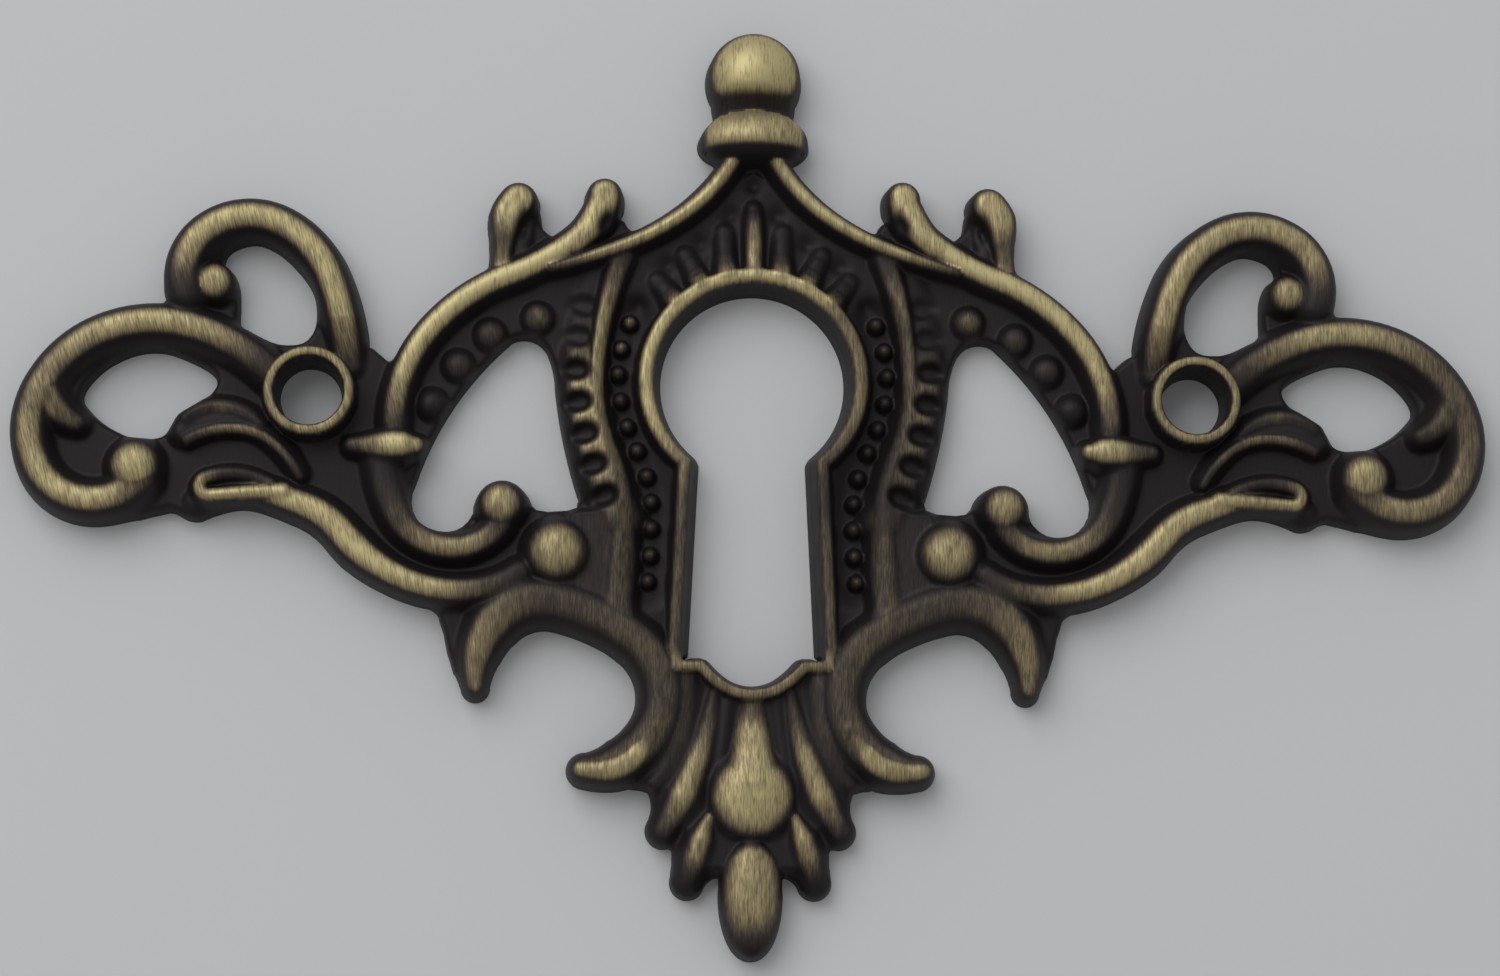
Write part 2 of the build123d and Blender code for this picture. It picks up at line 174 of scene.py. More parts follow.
def window(places):
    """The rows and columns of the plan round some points."""
    cols = np.searchsorted(half_x, [places.real.min() - WINDOW_MARGIN, places.real.max() + WINDOW_MARGIN])
    rows = np.searchsorted(plan_y, [places.imag.min() - WINDOW_MARGIN, places.imag.max() + WINDOW_MARGIN])
    return slice(*rows), slice(*cols)


def along(points, heading):
    """The window, and at each of its plan points the offset from the nearest place on the crest line and that
    place's share of the length. Past an end, the offset is the distance from the end."""
    places, ways, share = crest_line(points, heading)
    area = window(places)
    spots = X[area] + 1j * Y[area]
    nearest = np.abs(spots[..., None] - places).argmin(-1)
    apart = (spots - places[nearest]) / ways[nearest]
    past = np.where((nearest == 0) | (nearest == len(places) - 1), apart.real, 0)
    return area, np.hypot(apart.imag, past), share[nearest]


def put(area, height, rub, reach=None, blend=RELIEF_BLEND):
    """Joins a form to the casting: its height to the relief by the eased larger of the two, its rubbing where
    it stands above the rest, and its reach to the outline."""
    lead = np.clip((height - relief[area]) / LEAD_BAND + 0.5, 0, 1)
    rubbed[area] = rubbed[area] * (1 - lead) + rub * lead
    relief[area] = smooth_max(relief[area], height, blend)
    if reach is not None:
        inside[area] = smooth_max(inside[area], reach, OUTLINE_BLEND)


def bright_top(drop, wear, deep=RUB_DROP):
    """Rubbing that fades from the given wear to none as the surface drops from its crest past the depth."""
    return wear * (1 - eased(drop, RUB_START * deep, RUB_END * deep))


def rib(points, heading, half_widths, heights, wears, depth=0.7, power=2.6, to_outline=True,
        blend=RELIEF_BLEND):
    """A rib: from its crest the height falls by depth times a power of offset over half width, out past its
    foot. Half widths, heights and wears are values at even steps along the crest line."""
    area, off, share = along(points, heading)
    half, tall, wear = (np.interp(share, np.linspace(0, 1, len(v)), v) for v in (half_widths, heights, wears))
    half = half - WALL_LEAN
    drop = depth * (off / half) ** power
    put(area, tall - drop, bright_top(drop, wear), half - off if to_outline else None, blend)


rib(from_ring([(-1.9, 1.6), (-0.85, 6.2), (1.6, 8.75), (5.3, 8.4), (6.3, 5)]), 88, LOOP_HALF,
    [1.7, 2.5, 2.6, 2.6, 2.6, 2.6, 2.6, 2.6], [0.3, 0.75, 0.82, 0.8, 0.8, 0.8, 0.75, 0.1], LOOP_DEPTH)
rib(from_ring([(2, 1.1), (5.8, 3.3), (10.5, 3.05), (13.8, -0.5), (13.6, -3.8), (9.2, -5.1), (8.3, -4.4)]), 43,
    LOOP_HALF, [2.6], [0.2, 0.55, 0.78, 0.8, 0.75, 0.6, 0.6, 0.7, 0.8, 0.8, 0.4], LOOP_DEPTH)
rib(from_ring([(13.3, -0.1), (11.7, -1.6)]), -115, [1.2, 0.8], [2.5, 2.2], [0.65, 0.35], 0.7, 2.2)

# The tongues: two curled leaves under each ring, cast on the ground. The lower one is a low dull body with
# a thin ridge along it that takes the brush.
rib(from_ring([(6.2, -1.3), (4.5, -0.7), (2.4, -1.6)]), 140, [0.75, 0.7], [2.1], [0.1, 0.42, 0.1], 0.7, 2.0)
rib(from_ring([(6.3, -2.0), (3.8, -1.45), (2, -2.2), (0.5, -4)]), 150, [0.9, 0.8, 0.7], [2.0], [0.05], 0.6)
rib(from_ring([(6.1, -2.45), (3.7, -1.85), (1.8, -2.55), (0.4, -4.3)]), 150, [0.5, 0.48, 0.45], [2.2],
    [0.25, 0.5, 0.5, 0.4, 0.2], 0.5, to_outline=False, blend=0.35)

# The rails: long ribs that frame the plate, cast with the ground. In order: the lower rail, the hairpin at
# its end, the crown rail down from the collar, the shoulder rail, the rail from the cross bar to the heart's
# ball, and the rail beside the keyhole.
RAIL_HALF = [0.9]
rib([(11.8, -9), (14.8, -10), (17.9, -9.3), (20.8, -7.05), (22.7, -5.7), (24.4, -5.1), (28.2, -5.45)], -37,
    [0.9, 0.9, 0.9, 0.95, 1.1, 1.05, 0.95, 0.9, 0.9], [2.3, 2.5, 2.5, 2.5, 2.5, 2.5, 2.45, 1.95, 1.5],
    [0.2, 0.4, 0.8, 0.88, 0.88, 0.85, 0.85, 0.2, 0])
rib([(23.7, -5.05), (27.4, -5.3), (27.6, -4.4), (24.4, -4.65)], -3, [0.65, 0.6, 0.55, 0.55, 0.55, 0.5],
    [2.5, 2.5, 2.5, 2.4, 2.3], [0.85, 0.8, 0.75, 0.78, 0.85, 0.7, 0.35, 0.2, 0.2, 0.35], 0.5,
    to_outline=False)
rib([(1, 12.5), (3.7, 9.45), (6.5, 7.9), (10.4, 6.55)], -61, [0.8, 0.8, 0.75, 0.7, 0.55], [2.5],
    [0.7, 0.9, 0.85, 0.75, 0.3], 1.0, 2.2)
rib([(8.2, 8.9), (12.5, 6.2), (16.5, 3.3), (18.2, -1.4)], -43, RAIL_HALF, [2.5],
    [0.9, 0.97, 0.97, 0.97, 0.92, 0.8, 0.35])
rib([(18.8, -3.4), (18, -6.1), (15.4, -7.8), (12.8, -6.6)], -95, [1.1, 1.05, 0.95, 0.9, 0.9], [2.3, 2.4],
    [0.12, 0.22, 0.35, 0.55, 0.65, 0.6, 0.3])
rib([(6.7, 7.3), (7.95, 1.2), (7.2, -2.9), (6.55, -6), (6.75, -10.2), (6.1, -12.3)], -69,
    [0.8, 0.6, 0.55, 0.65, 0.95, 0.95], [2.1, 2.3, 2.3, 2.3, 2.25, 2.2],
    [0.2, 0.65, 0.7, 0.58, 0.42, 0.36, 0.36, 0.34], 0.5, 3.0)

# The ladder band and the plateau: the band runs between the keyhole's rail and the heart, with a row of pits.
# The plateau is the low table below it that carries the large ball. Both are cast with the ground.
LADDER_HEADING = -70
PLATEAU_HEIGHT, PLATEAU_WEAR = 1.95, 0.2
PLATEAU_SLOPE, PLATEAU_EDGE, PLATEAU_FADE = 3, 0.1, 0.4
everywhere = np.s_[:, :]
ladder_line = [(7.6, 7), (8.6, 2.5), (8.45, -0.5), (6.6, -6.2)]
rib(ladder_line, LADDER_HEADING, [1.3], [1.35, 1.45, 1.8, 2.15, 2.25, 2.25, 2.15],
    [0, 0.05, 0.4, 0.72, 0.75, 0.62, 0.35], 0.6, 3.0, to_outline=False)
plateau_in = within([(6.4, -5.6), (9.2, -5.9), (9.9, -8), (9.4, -9.4), (10.2, -9.9), (11.6, -9.5),
                     (12.6, -9.4), (12.6, -10.6), (9.4, -11), (6.4, -11.2)])
put(everywhere, PLATEAU_HEIGHT - PLATEAU_SLOPE * np.maximum(PLATEAU_EDGE - plateau_in, 0),
    PLATEAU_WEAR * eased(plateau_in, 0, PLATEAU_FADE), blend=0.4)

# The crescents: the broadest ribs, from a horn under the lower rail round to an arm beside the tail. They are
# cast with the ground, and only the arm's own ridge is rubbed as bright as the rails.
rib([(13.95, -14.75), (13.3, -11.9), (9.8, -10.5), (6.05, -12.25), (4.65, -16.2), (8.4, -18.9)], 84,
    [0.75, 1.2, 1.45, 1.45, 1.4, 1.35, 1.3, 1.35, 1.35, 1.35, 1.4, 1.35, 0.95],
    [2.1, 2.5, 2.4, 2.4, 2.5, 2.5, 2.2],
    [0.55, 0.6, 0.52, 0.38, 0.33, 0.33, 0.38, 0.38, 0.35, 0.35, 0.4, 0.4, 0.4], 0.9, 2.8, blend=0.45)
rib([(4.9, -16.9), (5.9, -18.3), (7, -18.95), (8.6, -18.95)], -60, [0.5, 0.8, 0.8, 0.6],
    [2.5, 2.55, 2.5, 2.3], [0.3, 0.75, 0.75, 0.7], 0.4, to_outline=False)

# The leaves of the tail: ribs that fan out below the keyhole from a raised ground, cast with it. In order:
# the outer leaf, the lower leaf, a thin vein beside the drop and the fold next to the crescent.
TAIL_GROUND, TAIL_SLOPE, TAIL_EDGE = 1.6, 2, 0.2
tail_in = within([(-3, -13.2), (3.2, -13.2), (4.8, -18.6), (4.4, -20.6), (3.4, -22), (2.9, -24), (-3, -24)])
put(everywhere, TAIL_GROUND - TAIL_SLOPE * np.maximum(TAIL_EDGE - tail_in, 0), 0.0)
rib([(1.9, -14.9), (2.85, -18.7), (4.4, -21.9)], -82, [0.6, 0.85, 1.1, 1.25, 0.95],
    [1.8, 2.05, 2.25, 2.25, 1.9], [0.15, 0.4, 0.7, 0.75, 0.3], 0.8, 2.0, blend=0.5)
rib([(2.15, -21.3), (3.2, -24.5)], -68, [0.6, 1.0, 1.05, 0.9], [1.9, 2.2, 2.1, 1.7], [0.55, 0.7, 0.6, 0.1],
    0.8, 2.0, blend=0.4)
rib([(1.2, -15.2), (1.75, -19.2)], -84, [0.55], [1.75], [0.05], 0.4, 2.0, to_outline=False, blend=0.4)
rib([(3.5, -14.4), (3.75, -17.2), (4.9, -19.6)], -90, [1.1, 1.1, 0.9], [2.0, 2.1, 1.9], [0.3, 0.3, 0.12],
    0.7, 2.0, to_outline=False, blend=0.5)

# The buds: two round-headed shoots on each shoulder rail, cast with it, with a small dark hollow in each.
# A low web joins the outer one to the rail.
BUD_POWER = 3.8
HOLLOW_LENGTH, HOLLOW_WIDTH, HOLLOW_DEPTH, HOLLOW_DARK = 0.6, 0.3, 0.45, 1.3
rib([(9.2, 7.9), (7.8, 9.8), (7.65, 10.5)], 138, [0.85, 0.95, 1.05, 1.1, 1.05], [2.5, 2.5, 2.4], [0.8],
    0.7, BUD_POWER)
rib([(12.85, 6.6), (12.7, 8.8), (12.05, 10.15)], 92, [0.7, 0.7, 0.85, 1.1, 1.12], [2.2, 2.4, 2.4],
    [0.65, 0.45, 0.4, 0.7, 0.82, 0.82], 0.7, BUD_POWER)
rib([(11.9, 7.3), (11.75, 9.3)], 92, [0.75], [1.75], [0.15])
for place, way in (((7.55, 9), 115), ((11.75, 8.8), 95)):
    apart = ((X - place[0]) + 1j * (Y - place[1])) / np.exp(1j * np.radians(way))
    hollow = np.exp(-((apart.real / HOLLOW_LENGTH) ** 2 + (apart.imag / HOLLOW_WIDTH) ** 2))
    relief -= HOLLOW_DEPTH * hollow
    rubbed *= 1 - np.clip(HOLLOW_DARK * hollow, 0, 1)

# The cross bars: short bars over the rails between heart and ring, thick at the heart and tapering outwards.
# They are cast with the rails, stand higher than them and are brightest at the thick end.
rib([(17.1, -2.65), (20.3, -2.65)], 0, [0.65, 0.9, 0.95, 0.9, 0.78, 0.68, 0.6],
    [2.6, 2.9, 2.9, 2.8, 2.6, 2.5, 2.4], [0.78, 0.85, 0.85, 0.8, 0.55, 0.42, 0.32], 0.5)

# Balls and beads: round studs cast on the scroll ends, on the ground and in a channel along the keyhole.
# The larger ones stand up to the brush and are bright over most of their tops.
BALL_DEPTH, DOME_RUB = 0.4, 0.24
STUD_RADIUS, STUD_RISE, STUD_DEPTH = 0.92, 0.75, 0.7
BEAD_RADIUS, BEAD_RISE, BEAD_DEPTH, BEAD_COUNT, BEAD_POWER = 0.46, 0.4, 0.75, 11, 2.2
BEAD_BLEND = 0.12
BEAD_HEADING = -66
CHANNEL_DEPTH, CHANNEL_FLOOR, CHANNEL_EDGE = 0.45, 0.4, 1.7
BRIGHT_BEADS, BRIGHT_BEAD_WEAR, BEAD_WEAR = 2, 0.5, 0.31


def dome(place, radius, top, depth, wear, power=3.0):
    """A stud: its top falls by depth times a power of the distance from its middle over its radius."""
    area = window(np.array([complex(*place)]))
    off = np.hypot(X[area] - place[0], Y[area] - place[1])
    drop = depth * (off / radius) ** power
    return area, top - drop, bright_top(drop, wear, DOME_RUB * depth), radius - WALL_LEAN - off


for place, diameter, top, wear in (((27.4, 5.7), 2.2, 2.5, 0.75), ((31.2, -3.8), 2.9, 2.9, 0.8),
                                   ((12.75, -5.55), 2.5, 2.8, 0.7), ((9.9, -7.95), 3.5, 3.1, 0.72)):
    put(*dome(place, diameter / 2, top, BALL_DEPTH * diameter, wear))
for place, wear in (((16.3, -0.4), 0.12), ((15, 1.6), 0.25), ((13.4, 3.2), 0.3), ((11, 4.1), 0.4)):
    stud = dome(place, STUD_RADIUS, GROUND_HEIGHT + STUD_RISE, STUD_DEPTH, wear, BEAD_POWER)
    put(*stud[:3], blend=BEAD_BLEND)
bead_line = [(6.3, 3.95), (6.8, 0.2), (5.9, -2.6), (5.15, -5.6), (5.3, -9.35)]
channel, from_line, _ = along(bead_line, BEAD_HEADING)
relief[channel] -= CHANNEL_DEPTH * (1 - eased(from_line, CHANNEL_FLOOR, CHANNEL_EDGE))
bead_path, _, bead_share = crest_line(bead_line, BEAD_HEADING)
for count in range(BEAD_COUNT):
    spot = bead_path[np.searchsorted(bead_share, count / (BEAD_COUNT - 1))]
    wear = BRIGHT_BEAD_WEAR if count < BRIGHT_BEADS else BEAD_WEAR
    bead = dome((spot.real, spot.imag), BEAD_RADIUS, GROUND_HEIGHT + BEAD_RISE, BEAD_DEPTH, wear, BEAD_POWER)
    put(*bead[:3], blend=BEAD_BLEND)

# Pits in the ladder band, in line with the keyhole and a little open towards the heart, cast as they are.
# They fill with the dark of the finish and leave the rungs between them bright, with painted shade beside
# each pit on its side towards the heart.
FIRST_PIT, PIT_STEP = 5.65, 1.64
PIT_OFF, PIT_LENGTH, PIT_INWARD, PIT_OUTWARD = 0.3, 0.47, 0.52, 0.72
PIT_FALL, PIT_POWER, PIT_DARK = 0.7, 4, 1.5
SHADE_OFF, SHADE_LENGTH, SHADE_WIDTH, PAINTED_SHADE_DARK = 0.5, 0.6, 0.45, 0.7
pit_line, pit_ways, _ = crest_line(ladder_line, LADDER_HEADING)
pit_run = np.append(0, np.cumsum(np.abs(np.diff(pit_line))))
for count, sunk in ((-2, 0.3), (-1, 0.4), (0, 0.7), (1, 0.7), (2, 0.7), (3, 0.7), (4, 0.7)):
    at = np.searchsorted(pit_run, FIRST_PIT + PIT_STEP * count)
    apart = ((X - pit_line[at].real) + 1j * (Y - pit_line[at].imag)) / pit_ways[at]
    off = apart.imag - PIT_OFF
    pit_off = off / np.where(off > 0, PIT_OUTWARD, PIT_INWARD)
    shade_off = (off - SHADE_OFF) / SHADE_WIDTH
    pit = np.exp(-PIT_FALL * np.hypot(apart.real / PIT_LENGTH, pit_off) ** PIT_POWER)
    # Painted shade: a patch beside each pit, towards the heart, where the rubbing is darkened as if in
    # shadow.
    painted_pit_shade = np.exp(-PIT_FALL * np.hypot(apart.real / SHADE_LENGTH, shade_off) ** PIT_POWER)
    relief -= sunk * pit
    rubbed *= 1 - np.clip(PIT_DARK * pit + PAINTED_SHADE_DARK * painted_pit_shade, 0, 1)

# Rings round the fixing holes: flat-topped collars cast with the ground, with a tapered hole through each for
# a small nail. Their tops stand a little above the rails and are rubbed bright all round.
HOLE_RADIUS, HOLE_LEAN = 1.55, 0.22
RING_RADIUS, RING_HALF, RING_OUTER, RING_HEIGHT, RING_WEAR = 1.98, 0.34, 2.4, 3.0, 0.68
RING_POWER = 5
LIP_DEPTH, LIP_RUB, LIP_BLEND = 0.5, 0.15, 0.1
from_hole = np.hypot(X - RING_X, Y)
ring_drop = LIP_DEPTH * np.abs((from_hole - RING_RADIUS) / RING_HALF) ** RING_POWER
put(everywhere, RING_HEIGHT - ring_drop, bright_top(ring_drop, RING_WEAR, LIP_RUB),
    RING_OUTER - WALL_LEAN - from_hole, LIP_BLEND)

# The keyhole's rim: a narrow flat-topped lip that follows a round head, a widening slot and an ogee foot.
# It is cast, with its inner wall flared. The head is handled most and is brightest.
KEYHOLE_FLARE = 0.34
HEAD_Y, HEAD_RADIUS = 0.85, 4.7
SLOT_TOP_Y, SLOT_TOP_HALF, SLOT_SPREAD, SLOT_FOOT_Y = -3.0, 2.7, 0.0495, -13.1
RIM_MIDDLE, RIM_FOOT_SHIFT, RIM_HALF, RIM_HEAD_EXTRA = 0.78, 0.16, 0.37, 0.07
RIM_HEIGHT, RIM_OUTER, RIM_POWER = 2.4, 1.2, 4
RIM_WEAR, RIM_FOOT_WEAR, RIM_HEAD_WEAR = 0.4, 0.15, 0.45
head_out = np.hypot(X, Y - HEAD_Y) - HEAD_RADIUS
slot_out = np.maximum(np.abs(X) - SLOT_TOP_HALF - SLOT_SPREAD * (SLOT_TOP_Y - Y), SLOT_FOOT_Y - Y)
slot_out = np.where(Y > HEAD_Y, FAR, slot_out)
ogee = [(2.2, -12.4), (2.38, -13), (2.1, -13.35), (1.55, -13.9), (0.85, -14.35), (0, -14.52)]
ogee_out = -within(rounded(ogee + [(-x, y) for x, y in ogee[::-1][1:]]))
keyhole_out = np.minimum(np.minimum(head_out, slot_out), ogee_out)
foot = 1 - eased(Y, -13.4, -12.8)
rim_half = RIM_HALF + RIM_HEAD_EXTRA * eased(Y, -5, -1)
rim_drop = LIP_DEPTH * np.abs((keyhole_out - RIM_MIDDLE + RIM_FOOT_SHIFT * foot) / rim_half) ** RIM_POWER
rim_wear = RIM_WEAR + RIM_FOOT_WEAR * foot + RIM_HEAD_WEAR * eased(Y, -6, 0)
put(everywhere, RIM_HEIGHT - rim_drop, bright_top(rim_drop, rim_wear, LIP_RUB), RIM_OUTER - keyhole_out,
    LIP_BLEND)

# The fan: short round-topped rays over the keyhole with dimples between their tips, cast in one with the rim.
# Only their feet and the middle ray are high enough to be rubbed.
RAY_DEPTH = 0.5
DIMPLE_DEPTH, DIMPLE_RADIUS = 0.25, 0.42
side_ray = [2.4, 2.0, 1.75, 1.65, 1.45], [0.65, 0.3, 0.08, 0.03, 0]
for start, end, half, heights, wears in (
        ((0, 6.3), (0, 9.9), 0.65, [2.4, 2.2, 2.1, 2.0, 1.6], [0.7, 0.65, 0.6, 0.45, 0]),
        ((1.4, 6.5), (1.5, 8.7), 0.72, *side_ray),
        ((2.75, 6), (3.5, 7.5), 0.72, *side_ray),
        ((4.05, 5.05), (4.9, 6.15), 0.72, *side_ray)):
    way = np.degrees(np.angle(complex(*end) - complex(*start)))
    rib([start, end], way, [half], heights, wears, RAY_DEPTH, to_outline=False)
for place in ((0, 11.2), (1.2, 9.65), (2.75, 8.15), (4.4, 7), (5.8, 5)):
    relief -= DIMPLE_DEPTH * np.exp(-((X - place[0]) ** 2 + (Y - place[1]) ** 2) / DIMPLE_RADIUS**2)

# The finial: a ball on a neck over a collar, as if turned on the plate's middle line, cast in half round.
# The ball is bright over its upper part and the collar from just below its middle upward, on the side towards
# the finial's end.
BALL_Y, BALL_RADIUS, BALL_WEAR, NECK_WEAR = 16.79, 2.5, 0.95, 0.17
NECK_SQUASH = 0.6
COLLAR_Y, COLLAR_RADIUS, COLLAR_WEAR = 13.4, 2.9, 0.8
COLLAR_UPPER, COLLAR_LOWER, COLLAR_RISE = 1.75, 1.4, 2.78
AXIS_HEIGHT = 0.9
BALL_FOOT_TURN, TURN_STEPS = -0.5, 24
TURNED_BLEND = 0.15


def turned(profile, axis_height, squash=1.0):
    """A form turned about the middle line: its height is the axis plus the squashed root of its radius at
    that Y squared less X squared."""
    radii, places = np.array(profile).T
    order = places.argsort()
    radius = np.interp(Y, places[order], radii[order], left=0, right=0)
    height = axis_height + squash * np.sqrt(np.maximum(radius**2 - X**2, 0))
    reach = within(profile + [(-r, y) for r, y in profile[::-1]]) - WALL_LEAN
    return np.where(radius > X, height, 0), reach


ball_turn = np.linspace(BALL_FOOT_TURN, np.pi / 2, TURN_STEPS)
collar_turn = np.linspace(-np.pi / 2, np.pi / 2, TURN_STEPS)
neck = [(2.1, 13), (2.1, 14.9)]
ball = neck + [(BALL_RADIUS * np.cos(a), BALL_Y + BALL_RADIUS * np.sin(a)) for a in ball_turn]
collar = [(COLLAR_RADIUS * np.cos(a), COLLAR_Y + (COLLAR_UPPER if a > 0 else COLLAR_LOWER) * np.sin(a))
          for a in collar_turn]
ball_height, ball_reach = turned(ball, AXIS_HEIGHT, NECK_SQUASH + (1 - NECK_SQUASH) * eased(Y, 14.8, 16.2))
ball_rub = (1 - eased(np.hypot(X, Y - BALL_Y), 1.9, 2.4)) * eased(Y, 15.35, 16.1)
put(everywhere, ball_height, np.maximum(BALL_WEAR * ball_rub, NECK_WEAR), ball_reach, TURNED_BLEND)
collar_height, collar_reach = turned(collar, AXIS_HEIGHT, COLLAR_RISE / COLLAR_RADIUS)
collar_rub = eased(Y, 12.75, 13.15) * (1 - eased(X, 2.3, 2.75))
put(everywhere, collar_height, COLLAR_WEAR * collar_rub, collar_reach, TURNED_BLEND)

# The drop and the tail: a stem that swells into a round bulb, and a long tongue below it, on the middle line.
# They are cast with the leaves, and the brush reaches the bulb and most of the tongue.
STEM_DEPTH, TAIL_DEPTH, MIDDLE_POWER, MIDDLE_RUB = 0.75, 0.9, 2.6, 0.3
LEAST_HALF, DEEPEST = 0.05, 2
BULB_Y, BULB_RADIUS, BULB_TOP, BULB_DEPTH, BULB_WEAR, BULB_POWER = -20.25, 2.35, 2.65, 1.0, 0.8, 4.0
BULB_BLEND = 0.4
STEM_WEAR, STEM_FADE, STEM_SIDE, STEM_END = 0.78, 0.4, 1.6, -20.5
TAIL_HALF, TAIL_Y, TAIL_LENGTH, TAIL_BASE = 1.65, -25.1, 3.35, 1.4
TAIL_WEAR, TAIL_BOW, TAIL_FULLNESS, TAIL_TURN, TAIL_STEPS = 0.7, 0.45, 0.9, 1.55, 16


def flat_topped(profile, depth, wear):
    """A form along the middle line, given as half width, height and Y in order down the plate: the height
    falls by depth times a power of X over the half width."""
    halves, tops, places = np.array(profile)[::-1].T
    half = np.interp(Y, places, halves, left=0, right=0)
    drop = depth * (X / np.maximum(half, LEAST_HALF)) ** MIDDLE_POWER
    reach = within([(h, y) for h, _, y in profile] + [(-h, y) for h, _, y in profile[::-1]]) - WALL_LEAN
    height = np.interp(Y, places, tops) - np.minimum(drop, DEEPEST)
    return everywhere, np.where(half > 0, height, 0), bright_top(drop, wear, MIDDLE_RUB), reach, TURNED_BLEND


stem = [(0.75, 1.9, -15.5), (0.9, 2.1, -16.5), (1.1, 2.3, -17.8), (1.3, 2.5, -18.9), (1.55, 2.62, -19.6),
        (1.5, 2.6, -20.4), (0.8, 2.4, -21), (0.05, 2.2, -21.3)]
put(*flat_topped(stem, STEM_DEPTH, STEM_WEAR - STEM_FADE * eased(Y, -17.2, -15.8)))
bulb, bulb_height, bulb_rub, bulb_reach = dome((0, BULB_Y), BULB_RADIUS, BULB_TOP, BULB_DEPTH, BULB_WEAR,
                                               BULB_POWER)
stem_rub = rubbed[bulb] * (X[bulb] < STEM_SIDE) * (Y[bulb] > STEM_END)
put(bulb, bulb_height, np.maximum(bulb_rub, stem_rub), bulb_reach, BULB_BLEND)
tail_wear = TAIL_WEAR * eased(Y, -28.5, -25.8) * (1 - eased(Y + TAIL_BOW * X**2, -23.1, -22.4))
tail = [(0.05, 1.7, -22.2), (0.45, 1.8, -22.3), (0.8, 1.95, -22.5), (1.1, 2.1, -22.85), (1.32, 2.25, -23.3),
        (1.5, 2.35, -23.9), (1.62, 2.4, -24.5)]
tail += [(TAIL_HALF * np.cos(a) ** TAIL_FULLNESS, TAIL_BASE + np.cos(a), TAIL_Y - TAIL_LENGTH * np.sin(a))
         for a in np.linspace(0, TAIL_TURN, TAIL_STEPS)]
put(*flat_topped(tail, TAIL_DEPTH, tail_wear))

# The casting's skin: the openings are let through, the plan is cut along the outline, and walls lean out from
# it to the flat back. The die leaves a soft edge on the scrolls and a crisp one on the rim and the rings.
SOFT_EDGE, CRISP_EDGE = 0.2, 0.08
CRISP_BY_KEYHOLE, CRISP_BY_HOLE = 1.15, 2.15
FLARED_BY_KEYHOLE, FLARED_BY_HOLE = 0.9, 2.05
RUB_OUT, RUB_IN = -0.03, 0.1
LEAST_SLOPE, LEAST_ROOM = 0.3, 0.1
LAST_STEP = 1.001
SNAP = 0.42 * PITCH
WALL_ROWS = 2
MM = 0.001
inside = np.minimum(inside, np.minimum(openings_out - WALL_LEAN, keyhole_out - KEYHOLE_FLARE))
inside = np.minimum(inside, from_hole - HOLE_RADIUS - HOLE_LEAN)
edge_round = np.where((keyhole_out < CRISP_BY_KEYHOLE) | (from_hole < CRISP_BY_HOLE), CRISP_EDGE, SOFT_EDGE)
relief -= edge_round * np.maximum(1 - np.maximum(inside, 0) / edge_round, 0) ** 2
rubbed *= eased(inside, RUB_OUT, RUB_IN)


def both_sides(values, sign=1):
    """A right half's values with their mirror image joined on its left."""
    return np.concatenate([sign * values[:, :0:-1], values], axis=1)


def sampled(values, where):
    """Values of the whole plan read at any points, weighted by nearness to the four plan points round it."""
    u = np.clip((where[:, 0] - x[0, 0]) / PITCH, 0, cols - LAST_STEP)
    v = np.clip((where[:, 1] - y[0, 0]) / PITCH, 0, rows - LAST_STEP)
    i, j = u.astype(int), v.astype(int)
    s, t = u - i, v - j
    return ((values[j, i] * (1 - s) + values[j, i + 1] * s) * (1 - t)
            + (values[j + 1, i] * (1 - s) + values[j + 1, i + 1] * s) * t)


def led_by(corners, value):
    """Triangles turned so that the first corner whose side of the outline has the value comes first."""
    lead = (side[corners] == value).argmax(1)
    return corners[np.arange(len(corners))[:, None], (lead[:, None] + np.arange(3)) % 3]


# Plan points near the outline move onto it along its slope. Each is then inside (1), on it (0) or out (-1).
x, y = both_sides(X, -1), both_sides(Y)
rows, cols = x.shape
whole_inside, whole_relief = both_sides(inside), both_sides(relief)
flare = np.where(from_hole < FLARED_BY_HOLE, HOLE_LEAN, WALL_LEAN)
flare = both_sides(np.where(keyhole_out < FLARED_BY_KEYHOLE, KEYHOLE_FLARE, flare))
slope_y, slope_x = np.gradient(whole_inside, PITCH)
steep = np.maximum(np.hypot(slope_x, slope_y), LEAST_SLOPE)
on_line = np.abs(whole_inside) < SNAP * steep
side = np.where(on_line, 0, np.sign(whole_inside)).astype(int).ravel()
move = on_line * whole_inside
spots = np.stack([x - move * slope_x / steep**2, y - move * slope_y / steep**2], -1).reshape(-1, 2)
deep = whole_inside.ravel()
level = whole_relief.ravel()

# Each square of the plan is split along the diagonal whose ends differ least in height.
# Triangles that lie wholly outside are left out.
corner = (np.arange(rows - 1)[:, None] * cols + np.arange(cols - 1)).ravel()
corner = corner[(np.stack([side[corner + k] for k in (0, 1, cols, cols + 1)]) > -1).any(0)]
a, b, c, d = corner, corner + 1, corner + cols + 1, corner + cols
rising = (np.abs(level[a] - level[c]) < np.abs(level[b] - level[d]))[:, None]
first = np.where(rising, np.stack([a, b, c], 1), np.stack([a, b, d], 1))
second = np.where(rising, np.stack([a, c, d], 1), np.stack([b, c, d], 1))
triangles = np.concatenate([first, second])
sides_of = side[triangles]
flush = (sides_of == 0).all(1) & (deep[triangles].mean(1) > 0)
triangles = triangles[(sides_of > 0).any(1) | flush]
sides_of = side[triangles]
whole = triangles[(sides_of >= 0).all(1)]
cut = triangles[(sides_of < 0).any(1)]

